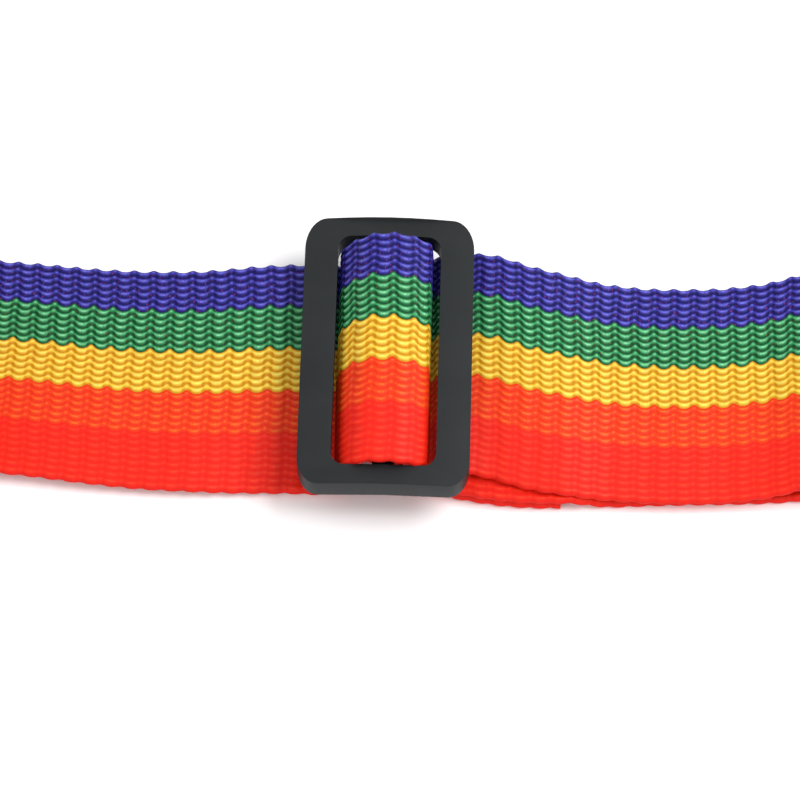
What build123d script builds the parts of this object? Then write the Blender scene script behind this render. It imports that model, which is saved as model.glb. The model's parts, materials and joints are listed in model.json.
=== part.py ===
from build123d import *
import os
from math import sqrt

# Adjustable luggage strap, laid out on a flat surface at z = 0.
# +X runs along the webbing, from the socket half of the buckle to its plug half. +Z is up.
# From left to right: socket half, short run, roll of spare webbing, flat run, slider,
# the two layers that go to the plug half and come back, plug half.
# The origin is on the surface, under the middle of the whole strap.
# All sizes are in millimetres.

# ---- webbing ----
WEB_WIDTH = 50.0
WEB_THICK = 1.9
MOVE_GAP = 0.3          # between pieces that move against each other
LAY_GAP = 0.1           # between layers that lie on each other
FLAT_RUN = 75.1         # slider's left side to the nearest side of the roll
ROLL_RADIUS = 30.5
FOOT_RADIUS = 9.0       # bend where the webbing comes down the roll and turns away
SOCKET_RUN = 62.0       # foot of the roll to the socket half's strap bar
LOOP_RUN = 104.0        # slider's centre to the plug half's strap bar
SEWN_END = 36.0         # strap bar to the cut end of the webbing, at both sewn ends
SEWN_FLAT = 26.0        # strap bar to where the sewn layers lie flat
SHOULDER_DROP = 3.0     # top of the arch over the centre bar to its shoulders
ARCH_REACH = 0.6        # how far the arched webbing runs out past the slider's sides
ARCH_SPARE = 0.4        # beside the two layers on the centre bar, under the arch
FLANK_LEAN = 0.2        # lean of the arch's two flanks
LEFT_SAG = 0.8          # webbing's drop as it leaves the slider on the left
RIGHT_SAG = 0.2         # and on the right
RAMP_FOOT = 40.0        # slider's centre to where the left run meets the surface
RAMP_EASE = 5.0         # length of the bend at each end of that ramp
LOOSE_GAP = 0.45        # upper layer above the lower one where both lie flat
SNUG = 0.02             # sewn webbing round the bar it holds

# ---- seams ----
STITCH_RAISE = 0.4
STITCH_WIDTH = 0.9
STITCH_LENGTH = 6.0
STITCH_COLUMNS = 2
STITCH_ROWS = 11

# ---- slider ----
SLIDER_LENGTH = 34.8    # along the webbing
SLOT_PLAY = 2.0         # webbing's side to the end of the slots
SLIDER_THICK = 4.2
SLIDER_LIFT = 9.8       # underside above the surface
SIDE_BAR = 6.8
END_BAR = 4.6
SLIDER_CORNER = 6.5
SLIDER_EDGE = 1.5       # rounding of its long edges
SLOT_CORNER = 2.6
CENTRE_BAR_WIDTH = 4.6
CENTRE_BAR_THICK = 3.6
BAR_SINK = 1.0          # how far a bar runs into the sides that hold it

# ---- both buckle halves ----
BUCKLE_THICK = 12.0
STRAP_BAR_RADIUS = 2.1
CHEEK_WIDTH = 5.0       # side arms that hold the strap bar
CHEEK_PLAY = 1.0        # webbing's side to the cheek
CHEEK_STEP = 2.0        # body's top to the cheek's top
CHEEK_REACH = 3.0       # cheek's end past the strap bar's centre
CHEEK_SHOULDER = 1.9    # body to where the cheek grows thin
STRAP_SLOT = 9.2        # strap bar's centre to the body of the half
BUCKLE_CORNER = 5.0
TOP_EDGE = 1.6
BOTTOM_EDGE = 1.2

# ---- plug half ----
PLUG_BODY = 12.5        # body's length beyond the strap slot
BLADE_LENGTH = 25.0
BLADE_WIDTH = 13.0
BLADE_CORNER = 3.0
BLADE_SET = 1.3         # blade's face to the socket's wall
PRONG_REACH = 31.0      # front of the body to the tip of a prong
PRONG_INSET = 8.6       # side of the buckle to the middle of a prong's arm
PRONG_ARM = 4.2
PRONG_ROOT_RADIUS = 2.4
PRONG_ROOT_DEPTH = 2.6  # front of the body to the middle of a prong's root
PRONG_EDGE = 0.5
HEAD_WIDTH = 6.4        # how far a prong's head stands out past its arm
HEAD_BACK = 16.5        # tip to the shoulder that catches in the window
HEAD_FLAT = 3.5
HEAD_EDGE = 0.9
TIP_WIDTH = 2.0

# ---- socket half ----
SOCKET_BODY = 39.0      # body's length beyond the strap slot
SOCKET_WALL = 2.2       # top and bottom walls
SIDE_WALL = 4.4
BACK_WALL = 4.5
WINDOW_START = 10.0     # back of the body to the side window
WINDOW_LENGTH = 15.0
RIB_HEIGHT = 1.5
RIB_WIDTH = 1.4
RIB_BACK = 3.0          # rib's end to the back wall
PLUG_PLAY = 0.4         # beside the blade, between the ribs
PRONG_PLAY = 0.3        # above and below the prongs in the socket

# ---- places worked out from the sizes above ----
half_web = WEB_THICK / 2
slider_width = WEB_WIDTH + 2 * SLOT_PLAY + 2 * END_BAR
buckle_width = WEB_WIDTH + 2 * CHEEK_PLAY + 2 * CHEEK_WIDTH
cavity_height = BUCKLE_THICK - 2 * SOCKET_WALL
prong_thick = cavity_height - 2 * PRONG_PLAY
blade_thick = cavity_height - 2 * BLADE_SET
prong_offset = buckle_width / 2 - PRONG_INSET
slot_half = SLIDER_LENGTH / 2 - SIDE_BAR
slider_mid = SLIDER_LIFT + SLIDER_THICK / 2
buckle_mid = BUCKLE_THICK / 2
turn_radius = STRAP_BAR_RADIUS + MOVE_GAP + half_web
plug_front = STRAP_SLOT + PLUG_BODY
plug_tip = plug_front + PRONG_REACH
socket_end = STRAP_SLOT + SOCKET_BODY

left_side = SLIDER_LENGTH / 2 + FLAT_RUN + 2 * ROLL_RADIUS + WEB_THICK + FOOT_RADIUS
socket_bar_reach = left_side + SOCKET_RUN
slider_x = (socket_bar_reach + socket_end - LOOP_RUN - plug_tip) / 2
roll_x = slider_x - SLIDER_LENGTH / 2 - FLAT_RUN - ROLL_RADIUS
plug_x = slider_x + LOOP_RUN
socket_x = slider_x - socket_bar_reach

weave_end = SLIDER_LENGTH / 2 + ARCH_REACH
top_layer = WEB_THICK + half_web + LOOSE_GAP
seam_layer = WEB_THICK + half_web + LAY_GAP


def ribbon(route, bends):
    """Full-width webbing along a side view of straight runs joined by arcs."""
    with BuildSketch(Plane.XZ) as profile:
        with BuildLine() as line:
            FilletPolyline(*route, radius=bends)
        trace(line.line, line_width=WEB_THICK)
    extrude(profile.sketch, amount=WEB_WIDTH / 2, both=True)


def from_slider(*points):
    """Side-view points given from the slider's centre."""
    return [(slider_x + x, z) for x, z in points]


# ---- slider: flat frame with a centre bar ----
with BuildPart() as slider_frame:
    with BuildSketch(Plane.XY.offset(SLIDER_LIFT)):
        with Locations((slider_x, 0)):
            RectangleRounded(SLIDER_LENGTH, slider_width, SLIDER_CORNER)
            RectangleRounded(2 * slot_half, slider_width - 2 * END_BAR, SLOT_CORNER, mode=Mode.SUBTRACT)
    extrude(amount=SLIDER_THICK)
    fillet(slider_frame.edges().group_by(Axis.Z)[0], SLIDER_EDGE)
    fillet(slider_frame.edges().group_by(Axis.Z)[-1], SLIDER_EDGE)
    with BuildSketch(Plane.XZ):
        with Locations((slider_x, slider_mid)):
            RectangleRounded(CENTRE_BAR_WIDTH, CENTRE_BAR_THICK, CENTRE_BAR_THICK / 2 - 0.05)
    extrude(amount=slider_width / 2 - END_BAR + BAR_SINK, both=True)

# ---- webbing over the centre bar and under both side bars ----
loop_radius = CENTRE_BAR_THICK / 2 + half_web
loop_top = slider_mid + loop_radius + SNUG
loop_bottom = slider_mid - loop_radius - SNUG
weave_top = loop_top + WEB_THICK + MOVE_GAP
weave_side = CENTRE_BAR_WIDTH / 2 + WEB_THICK + ARCH_SPARE
under_bar = SLIDER_LIFT - half_web - MOVE_GAP
flank = slot_half - half_web - MOVE_GAP

with BuildPart() as web_weave:
    ribbon(
        from_slider(
            (-weave_end, under_bar - LEFT_SAG),
            (-flank, under_bar - LEFT_SAG + FLANK_LEAN),
            (-flank + FLANK_LEAN, weave_top - SHOULDER_DROP),
            (-weave_side, weave_top),
            (weave_side, weave_top),
            (flank - FLANK_LEAN, weave_top - SHOULDER_DROP),
            (flank, under_bar),
            (weave_end, under_bar - RIGHT_SAG),
        ),
        [2.0, 3.0, 7.0, 7.0, 3.0, 2.0],
    )

# ---- the end sewn round the centre bar: over it, round its left side and back below ----
loop_left = CENTRE_BAR_WIDTH / 2 + half_web + 0.05
loop_knee = 6.4
loop_foot = 9.0

with BuildPart() as web_sewn_loop:
    ribbon(
        from_slider(
            (SEWN_END, seam_layer),
            (loop_foot, seam_layer),
            (loop_foot - 3.4, loop_knee),
            (CENTRE_BAR_WIDTH / 2 + 0.3, loop_top),
            (-loop_left, loop_top),
            (-loop_left, loop_bottom),
            (CENTRE_BAR_WIDTH / 2 - 1.3, loop_bottom),
            (CENTRE_BAR_WIDTH / 2 + 0.5, loop_knee - 0.5),
            (loop_foot - WEB_THICK, half_web),
            (SEWN_END, half_web),
        ),
        [3.0, 4.0, 2.4, loop_radius - SNUG, loop_radius - SNUG, 1.2, 2.0, 3.0],
    )

# ---- left of the slider: a ramp down to the surface, then the flat run ----
ramp_top = under_bar - LEFT_SAG
with BuildPart() as web_left_ramp:
    ribbon(
        from_slider(
            (-weave_end - MOVE_GAP, ramp_top),
            (-weave_end - RAMP_EASE, ramp_top - LEFT_SAG),
            (-RAMP_FOOT + RAMP_EASE, half_web + MOVE_GAP),
            (-RAMP_FOOT, half_web),
        ),
        [9.0, 12.0],
    )

roll_clear = sqrt(ROLL_RADIUS ** 2 - (ROLL_RADIUS - WEB_THICK) ** 2)
with BuildPart() as web_left_run:
    run_start = roll_x + roll_clear
    run_end = slider_x - RAMP_FOOT - LAY_GAP
    with Locations(((run_start + run_end) / 2, 0, half_web)):
        Box(run_end - run_start, WEB_WIDTH, WEB_THICK)

# ---- the spare webbing, rolled up: its outer shape ----
with BuildPart() as web_roll:
    with BuildSketch(Plane.XZ):
        with Locations((roll_x, ROLL_RADIUS)):
            Circle(ROLL_RADIUS)
    extrude(amount=WEB_WIDTH / 2, both=True)

# ---- from the roll's left side down to the surface and along to the socket half ----
foot_x = roll_x - ROLL_RADIUS - LAY_GAP - half_web
with BuildPart() as web_foot_run:
    ribbon(
        [
            (foot_x, ROLL_RADIUS),
            (foot_x, half_web),
            (socket_x + SEWN_END + 9.0, half_web),
            (socket_x + SEWN_END + 1.0, seam_layer),
            (socket_x + SEWN_END, seam_layer),
        ],
        [FOOT_RADIUS, 12.0, 0.0],
    )

# ---- the end sewn round the socket half's strap bar ----
turn_top = buckle_mid + turn_radius
turn_bottom = buckle_mid - turn_radius
with BuildPart() as web_socket_loop:
    ribbon(
        [
            (socket_x + SEWN_END, seam_layer),
            (socket_x + SEWN_FLAT, seam_layer),
            (socket_x + 7.0, turn_top),
            (socket_x - turn_radius, turn_top),
            (socket_x - turn_radius, turn_bottom),
            (socket_x + 6.0, turn_bottom),
            (socket_x + SEWN_FLAT - 11.0, half_web),
            (socket_x + SEWN_END, half_web),
        ],
        [12.0, 8.0, turn_radius - 0.01, turn_radius - 0.01, 8.0, 12.0],
    )

# ---- right of the slider: upper layer, lower layer and the turn round the plug's strap bar ----
turn_leg = 8.0
with BuildPart() as web_upper_run:
    ribbon(
        [
            (slider_x + weave_end, under_bar - RIGHT_SAG),
            (slider_x + weave_end + 3.5, under_bar - 1.4 * RIGHT_SAG),
            (slider_x + SEWN_FLAT + 4.0, seam_layer + WEB_THICK + STITCH_RAISE + 1.3),
            (slider_x + SEWN_END + 1.0, seam_layer + WEB_THICK + STITCH_RAISE + 0.5),
            (slider_x + SEWN_END + 14.0, top_layer),
            (plug_x - turn_leg - 17.0, top_layer),
            (plug_x - turn_leg - 3.5, turn_top),
            (plug_x - turn_leg - MOVE_GAP, turn_top),
        ],
        [10.0, 20.0, 20.0, 20.0, 14.0, 6.0],
    )

with BuildPart() as web_lower_run:
    ribbon(
        [
            (slider_x + SEWN_END, seam_layer),
            (slider_x + SEWN_END + 1.0, seam_layer),
            (slider_x + SEWN_END + 9.0, half_web),
            (plug_x - turn_leg - 14.0, half_web),
            (plug_x - turn_leg - 3.0, turn_bottom),
            (plug_x - turn_leg - MOVE_GAP, turn_bottom),
        ],
        [0.0, 12.0, 16.0, 16.0],
    )

with BuildPart() as web_plug_turn:
    ribbon(
        [
            (plug_x - turn_leg, turn_top),
            (plug_x + turn_radius, turn_top),
            (plug_x + turn_radius, turn_bottom),
            (plug_x - turn_leg, turn_bottom),
        ],
        [turn_radius - 0.01, turn_radius - 0.01],
    )


def seam(middle_x, top):
    """Rows of thread bars, one row at each end of the sewn layers."""
    with Locations((middle_x, 0, top + STITCH_RAISE / 2)):
        with GridLocations(STITCH_LENGTH * 0.5, WEB_WIDTH / (STITCH_ROWS + 1), STITCH_COLUMNS, STITCH_ROWS):
            Box(STITCH_LENGTH * 0.45, STITCH_WIDTH, STITCH_RAISE)


# ---- thread of the two sewn ends, on top of the sewn layers ----
seam_top = 2 * WEB_THICK + LAY_GAP
seam_middle = (SEWN_FLAT + SEWN_END) / 2 + 1.0
with BuildPart() as seam_slider_end:
    seam(slider_x + seam_middle, seam_top)

with BuildPart() as seam_socket_end:
    seam(socket_x + seam_middle, seam_top)

# ---- plug half: strap bar, cheeks, body and centre blade ----
pivot_u = plug_front - PRONG_ROOT_DEPTH
root_room = PRONG_ROOT_RADIUS + MOVE_GAP
root_height = prong_thick + 2 * MOVE_GAP


def strap_end(bar_x, way, body_length):
    """Body outline of a buckle half with its two cheeks, open round the strap bar."""
    outline = CHEEK_REACH + STRAP_SLOT + body_length
    opening = 2 * CHEEK_REACH + STRAP_SLOT
    with BuildSketch(Plane.XY) as shape:
        with Locations((bar_x + way * (outline / 2 - CHEEK_REACH), 0)):
            RectangleRounded(outline, buckle_width, BUCKLE_CORNER)
        with Locations((bar_x + way * (STRAP_SLOT - opening / 2), 0)):
            Rectangle(opening, buckle_width - 2 * CHEEK_WIDTH, mode=Mode.SUBTRACT)
    extrude(shape.sketch, amount=BUCKLE_THICK)


def thin_cheeks(bar_x, way):
    """Takes the top and bottom of the cheeks down to their own thickness."""
    length = STRAP_SLOT + 2 * CHEEK_REACH - 1.0
    for level in (CHEEK_STEP / 2, BUCKLE_THICK - CHEEK_STEP / 2):
        with Locations((bar_x + way * (STRAP_SLOT - CHEEK_SHOULDER - length / 2), 0, level)):
            Box(length, 2 * buckle_width, CHEEK_STEP, mode=Mode.SUBTRACT)


def strap_bar(bar_x):
    """Round bar between the cheeks."""
    with Locations(Location((bar_x, 0, buckle_mid), (90, 0, 0))):
        Cylinder(STRAP_BAR_RADIUS, buckle_width - 2 * CHEEK_WIDTH + 2 * BAR_SINK)


with BuildPart() as plug_frame:
    strap_end(plug_x, 1, PLUG_BODY)
    thin_cheeks(plug_x, 1)
    fillet(plug_frame.edges().group_by(Axis.Z)[-1], TOP_EDGE)
    fillet(plug_frame.edges().group_by(Axis.Z)[0], BOTTOM_EDGE)
    strap_bar(plug_x)
    with BuildSketch(Plane.XY.offset(buckle_mid - blade_thick / 2)):
        with Locations((plug_x + plug_front + (BLADE_LENGTH - BLADE_CORNER) / 2, 0)):
            RectangleRounded(BLADE_LENGTH + BLADE_CORNER, BLADE_WIDTH, BLADE_CORNER)
    extrude(amount=blade_thick)
    for side in (1, -1):
        with Locations((plug_x + pivot_u, side * prong_offset, buckle_mid)):
            Cylinder(root_room, root_height, mode=Mode.SUBTRACT)
        with Locations((plug_x + pivot_u + PRONG_ROOT_DEPTH, side * prong_offset, buckle_mid)):
            Box(2 * PRONG_ROOT_DEPTH, 2 * root_room, root_height, mode=Mode.SUBTRACT)


# ---- plug half: the two springing prongs ----
def prong(side):
    """Arm with a round root and a barbed head; side is +1 or -1 across the buckle."""
    inner = prong_offset - PRONG_ARM / 2
    outer = prong_offset + PRONG_ARM / 2
    head = outer + HEAD_WIDTH
    root = plug_x + pivot_u
    tip = plug_x + plug_tip
    tip_inner = inner + 0.6 * PRONG_ARM
    with BuildSketch(Plane.XY.offset(buckle_mid - prong_thick / 2)) as outline:
        with BuildLine():
            Polyline(
                (root, side * inner),
                (tip - HEAD_BACK + HEAD_FLAT, side * inner),
                (tip - 0.4 * PRONG_ARM, side * (inner + PRONG_ARM / 3)),
                (tip, side * tip_inner),
                (tip, side * (tip_inner + TIP_WIDTH)),
                (tip - 1.5 * PRONG_ARM, side * (outer + 0.6 * HEAD_WIDTH)),
                (tip - HEAD_BACK + HEAD_FLAT, side * head),
                (tip - HEAD_BACK, side * head),
                (tip - HEAD_BACK, side * outer),
                (root, side * outer),
                close=True,
            )
        make_face()
        fillet(outline.vertices().sort_by(Axis.X)[-5:], HEAD_EDGE)
    extrude(outline.sketch, amount=prong_thick)
    with Locations((plug_x + pivot_u, side * prong_offset, buckle_mid)):
        Cylinder(PRONG_ROOT_RADIUS, prong_thick)


with BuildPart() as prong_far:
    prong(1)
    fillet(prong_far.edges().group_by(Axis.Z)[-1], PRONG_EDGE)
    fillet(prong_far.edges().group_by(Axis.Z)[0], PRONG_EDGE)

with BuildPart() as prong_near:
    prong(-1)
    fillet(prong_near.edges().group_by(Axis.Z)[-1], PRONG_EDGE)
    fillet(prong_near.edges().group_by(Axis.Z)[0], PRONG_EDGE)

# ---- socket half: strap bar, cheeks and hollow body with side windows ----
cavity_depth = SOCKET_BODY - BACK_WALL
cavity_x = socket_x - socket_end + cavity_depth / 2
with BuildPart() as socket_shell:
    strap_end(socket_x, -1, SOCKET_BODY)
    thin_cheeks(socket_x, -1)
    fillet(socket_shell.edges().group_by(Axis.Z)[-1], TOP_EDGE)
    fillet(socket_shell.edges().group_by(Axis.Z)[0], BOTTOM_EDGE)
    strap_bar(socket_x)
    with Locations((cavity_x - SOCKET_WALL / 2, 0, buckle_mid)):
        Box(cavity_depth + SOCKET_WALL, buckle_width - 2 * SIDE_WALL, cavity_height, mode=Mode.SUBTRACT)
    window_x = socket_x - STRAP_SLOT - WINDOW_START - WINDOW_LENGTH / 2
    with Locations((window_x, 0, buckle_mid)):
        Box(WINDOW_LENGTH, 2 * buckle_width, cavity_height, mode=Mode.SUBTRACT)
    rib_y = BLADE_WIDTH / 2 + PLUG_PLAY + RIB_WIDTH / 2
    for level in (SOCKET_WALL + RIB_HEIGHT / 2, BUCKLE_THICK - SOCKET_WALL - RIB_HEIGHT / 2):
        with Locations((cavity_x + RIB_BACK / 2, rib_y, level), (cavity_x + RIB_BACK / 2, -rib_y, level)):
            Box(cavity_depth - RIB_BACK, RIB_WIDTH, RIB_HEIGHT)

# ---- names and files ----
os.makedirs("parts", exist_ok=True)
nodes = {
    "slider_frame": slider_frame,
    "web_weave": web_weave,
    "web_sewn_loop": web_sewn_loop,
    "web_left_ramp": web_left_ramp,
    "web_left_run": web_left_run,
    "web_roll": web_roll,
    "web_foot_run": web_foot_run,
    "web_socket_loop": web_socket_loop,
    "web_upper_run": web_upper_run,
    "web_lower_run": web_lower_run,
    "web_plug_turn": web_plug_turn,
    "seam_slider_end": seam_slider_end,
    "seam_socket_end": seam_socket_end,
    "plug_frame": plug_frame,
    "prong_far": prong_far,
    "prong_near": prong_near,
    "socket_shell": socket_shell,
}
for name, node in nodes.items():
    node.part.label = name
    export_step(node.part, f"parts/{name}.step")
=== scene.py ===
"""Rainbow luggage strap, laid out: webbing, slider, and both halves of its buckle.

Lengths in this file are millimetres unless a name or comment says metres. The frame's origin is on
the surface under the middle of the strap, +X along the webbing and +Z up. +Y is the far side.
"""

import json
from math import atan2, cos, pi, radians, sin, tan

import bmesh
import bpy
import numpy as np
from bpy.props import FloatProperty, FloatVectorProperty, IntProperty, PointerProperty
from mathutils import Matrix, Vector

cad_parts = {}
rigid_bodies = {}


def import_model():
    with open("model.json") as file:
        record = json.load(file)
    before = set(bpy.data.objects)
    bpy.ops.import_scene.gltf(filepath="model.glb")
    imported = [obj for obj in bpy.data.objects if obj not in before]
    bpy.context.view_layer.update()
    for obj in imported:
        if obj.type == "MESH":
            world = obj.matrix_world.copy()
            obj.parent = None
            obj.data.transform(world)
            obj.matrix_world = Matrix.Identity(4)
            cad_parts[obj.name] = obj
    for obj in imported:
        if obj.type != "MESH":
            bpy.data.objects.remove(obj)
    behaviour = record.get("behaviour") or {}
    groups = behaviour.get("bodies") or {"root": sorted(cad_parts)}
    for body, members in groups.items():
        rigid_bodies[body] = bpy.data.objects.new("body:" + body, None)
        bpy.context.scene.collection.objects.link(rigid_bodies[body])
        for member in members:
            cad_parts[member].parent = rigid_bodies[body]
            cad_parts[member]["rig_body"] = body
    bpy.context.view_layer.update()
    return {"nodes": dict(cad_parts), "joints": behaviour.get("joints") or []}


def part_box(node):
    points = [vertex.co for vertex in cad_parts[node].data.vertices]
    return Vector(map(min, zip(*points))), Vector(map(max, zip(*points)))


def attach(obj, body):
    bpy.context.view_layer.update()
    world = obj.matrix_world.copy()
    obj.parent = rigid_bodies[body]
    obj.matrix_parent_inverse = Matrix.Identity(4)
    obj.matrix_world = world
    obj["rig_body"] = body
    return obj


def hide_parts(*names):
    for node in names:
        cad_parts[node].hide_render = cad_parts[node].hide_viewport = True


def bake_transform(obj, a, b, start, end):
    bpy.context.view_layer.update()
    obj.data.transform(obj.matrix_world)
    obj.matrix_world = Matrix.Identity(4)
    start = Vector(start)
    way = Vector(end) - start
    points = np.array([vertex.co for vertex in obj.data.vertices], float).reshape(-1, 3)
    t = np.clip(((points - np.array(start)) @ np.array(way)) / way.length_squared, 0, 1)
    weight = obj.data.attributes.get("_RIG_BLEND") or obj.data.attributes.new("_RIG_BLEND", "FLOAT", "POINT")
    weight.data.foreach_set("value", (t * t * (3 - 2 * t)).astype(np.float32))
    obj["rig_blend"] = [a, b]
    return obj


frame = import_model()

bl_info = {
    "name": "Rainbow Luggage Strap",
    "version": (1, 0, 0),
    "blender": (4, 5, 0),
    "location": "3D View > Sidebar > Strap",
    "description": "Builds a striped luggage strap with its slider and side-release buckle",
    "category": "Object",
}

MM = 0.001


def linear(red, green, blue):
    """A display colour, 0 to 255 a channel, as scene-linear values."""
    channels = np.array((red, green, blue)) / 255.0
    low = channels / 12.92
    high = ((channels + 0.055) / 1.055) ** 2.4
    return tuple(float(c) for c in np.where(channels <= 0.04045, low, high))


STUDIO = 1.32  # how much the studio's light lifts a dyed colour


def dyed(red, green, blue):
    """Colour of a surface that looks like this display colour in the studio's bright light."""
    return tuple(channel / STUDIO for channel in linear(red, green, blue))


def middle(node):
    """Centre of a CAD node's box, in millimetres."""
    low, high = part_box(node)
    return (low + high) / 2 / MM


# ---- places in the frame ----
JOINTS = {joint["name"]: joint for joint in frame["joints"]}
SLIDER_X = middle("slider_frame").x
SLIDER_Z = middle("slider_frame").z
PLUG_BAR = Vector(JOINTS["plug_fold"]["pos_m"]) / MM
SOCKET_BAR = Vector(JOINTS["socket_fold"]["pos_m"]) / MM
ROLL = middle("web_roll")
WEB_WIDTH = (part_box("web_left_run")[1].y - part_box("web_left_run")[0].y) / MM
WEB_THICK = (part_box("web_left_run")[1].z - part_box("web_left_run")[0].z) / MM
HALF_WEB = WEB_THICK / 2


# ---------------------------------------------------------------- settings


class STRAP_PG_webbing(bpy.types.PropertyGroup):
    """Weave of the webbing."""

    rows: IntProperty(
        name="Rows", description="Cords side by side across the webbing", default=32, min=8
    )
    wave_length: FloatProperty(
        name="Wave length", description="One crest of the weave to the next", default=4.1 * MM,
        unit="LENGTH",
    )
    wave_height: FloatProperty(
        name="Wave height", description="How far a cord swings sideways", default=0.47 * MM,
        unit="LENGTH",
    )
    cord_relief: FloatProperty(
        name="Cord relief", description="Top of a cord to the bottom of its groove", default=0.30 * MM,
        unit="LENGTH",
    )
    indigo: FloatVectorProperty(
        name="Indigo", description="First stripe", subtype="COLOR", default=dyed(46, 40, 156),
        min=0, max=1,
    )
    green: FloatVectorProperty(
        name="Green", description="Second stripe", subtype="COLOR", default=dyed(30, 150, 84),
        min=0, max=1,
    )
    yellow: FloatVectorProperty(
        name="Yellow", description="Third stripe", subtype="COLOR", default=dyed(252, 206, 56),
        min=0, max=1,
    )
    orange: FloatVectorProperty(
        name="Orange", description="Fourth stripe", subtype="COLOR", default=dyed(252, 56, 4),
        min=0, max=1,
    )
    red: FloatVectorProperty(
        name="Red", description="Fifth stripe", subtype="COLOR", default=dyed(252, 31, 4),
        min=0, max=1,
    )


class STRAP_PG_hardware(bpy.types.PropertyGroup):
    """Moulded parts and thread."""

    slider_colour: FloatVectorProperty(
        name="Slider", description="Slider's plastic", subtype="COLOR", default=linear(26, 29, 31),
        min=0, max=1,
    )
    buckle_colour: FloatVectorProperty(
        name="Buckle", description="Buckle's plastic", subtype="COLOR", default=linear(28, 30, 33),
        min=0, max=1,
    )
    thread_colour: FloatVectorProperty(
        name="Thread", description="Sewing thread", subtype="COLOR", default=linear(205, 38, 30),
        min=0, max=1,
    )


class STRAP_PG_stage(bpy.types.PropertyGroup):
    """Camera and floor."""

    distance: FloatProperty(
        name="Distance", description="Camera to the slider", default=0.9, unit="LENGTH"
    )
    elevation: FloatProperty(
        name="Elevation", description="Camera above the horizon", subtype="ANGLE", unit="ROTATION",
        default=radians(61),
    )
    azimuth: FloatProperty(
        name="Azimuth", description="Camera round to the right", subtype="ANGLE", unit="ROTATION",
        default=radians(1.5),
    )


# ---------------------------------------------------------------- side view of the webbing


def keyed(keys, at):
    """Smooth curve through a few (place, value) keys, level before the first and after the last."""
    places, values = np.array(keys, float).T
    slopes = np.gradient(values, places)
    slopes[0] = slopes[-1] = 0.0
    at = np.clip(at, places[0], places[-1])
    i = np.clip(np.searchsorted(places, at, side="right") - 1, 0, len(places) - 2)
    span = places[i + 1] - places[i]
    t = (at - places[i]) / span
    rise = t * t * (3 - 2 * t)
    start = t * (1 - t) ** 2 * span
    stop = -t * t * (1 - t) * span
    return values[i] * (1 - rise) + values[i + 1] * rise + slopes[i] * start + slopes[i + 1] * stop


def eased_route(start, corners, stop, ease, step=0.1):
    """Side-view line of straight runs and arcs, with a bend radius at each corner (x, z, bend).

    The bends grow and fade over `ease`, as those of stiff webbing do.
    """
    points = [Vector(start), *(Vector((x, z)) for x, z, _ in corners), Vector(stop)]
    heading = atan2(points[1].y - points[0].y, points[1].x - points[0].x)
    places, headings, travelled = [0.0], [heading], 0.0
    left_over = 0.0
    for before, corner, after, (_, _, bend) in zip(points, points[1:-1], points[2:], corners):
        into, out = corner - before, after - corner
        turn = (atan2(out.y, out.x) - atan2(into.y, into.x) + pi) % (2 * pi) - pi
        cut = bend * tan(abs(turn) / 2)
        travelled += max(into.length - left_over - cut, 1e-3)
        places.append(travelled)
        headings.append(heading)
        heading += turn
        travelled += max(bend * abs(turn), 1e-3)
        places.append(travelled)
        headings.append(heading)
        left_over = cut
    travelled += max((points[-1] - points[-2]).length - left_over, 1e-3)
    places.append(travelled)
    headings.append(heading)

    along = np.arange(0.0, travelled, step)
    angle = np.interp(along, places, headings)
    window = np.hanning(max(int(ease / step), 3) + 2)[1:-1]
    padded = np.pad(angle, len(window) // 2, mode="edge")
    angle = np.convolve(padded, window / window.sum(), mode="valid")[: len(along)]
    line = np.cumsum(np.stack([np.cos(angle), np.sin(angle)], 1) * step, 0)
    line -= line[0]
    line += np.array(points[0])
    drift = np.array(points[-1]) - line[-1]
    return line + drift * (along / along[-1])[:, None]


# Roll: two layers wound together from the middle of the spare webbing, both turning the same way.
LAYER_PITCH = 2.05
GROWTH = 2 * LAYER_PITCH / (2 * pi)  # of the radius, for each radian
CORE_RADIUS = 3.3
CORE_PULL = 3.0  # how far each arm keeps its direction into the core's S, in core radii
ARM_POINTS, CORE_POINTS = 5000, 160
UPPER_ARM_RADIUS = ROLL.z - HALF_WEB
FOOT_ARM_RADIUS = UPPER_ARM_RADIUS + GROWTH * pi / 2


def roll_route():
    """Round the roll from its left side, in to the core, and out again to the bottom."""
    inwards = (FOOT_ARM_RADIUS - CORE_RADIUS) / GROWTH
    swept = np.linspace(0.0, inwards, ARM_POINTS)
    radius = FOOT_ARM_RADIUS - GROWTH * swept
    angle = pi - swept
    arm_in = np.stack([radius * np.cos(angle), radius * np.sin(angle)], 1)
    outwards = (UPPER_ARM_RADIUS - CORE_RADIUS) / GROWTH
    swept = np.linspace(0.0, outwards, ARM_POINTS)
    radius = CORE_RADIUS + GROWTH * swept
    angle = 1.5 * pi - outwards + swept
    arm_out = np.stack([radius * np.cos(angle), radius * np.sin(angle)], 1)
    way_in = arm_in[-1] - arm_in[-2]
    way_out = arm_out[1] - arm_out[0]
    pull = CORE_PULL * CORE_RADIUS
    way_in = way_in / np.linalg.norm(way_in) * pull
    way_out = way_out / np.linalg.norm(way_out) * pull
    t = np.linspace(0.0, 1.0, CORE_POINTS)[1:-1, None]
    core = (
        (2 * t**3 - 3 * t**2 + 1) * arm_in[-1]
        + (t**3 - 2 * t**2 + t) * way_in
        + (3 * t**2 - 2 * t**3) * arm_out[0]
        + (t**3 - t**2) * way_out
    )
    return np.concatenate([arm_in, core, arm_out]) + np.array((ROLL.x, ROLL.z))


SEWN_END = 36.0  # bar to the cut end
TURN = 3.34  # radius of the middle line round a buckle half's bar
TURN_PLAY = 0.01
ON_SURFACE = HALF_WEB
ON_TAIL = 3 * HALF_WEB + 0.1  # middle line of the layer on top of a sewn end


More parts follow.
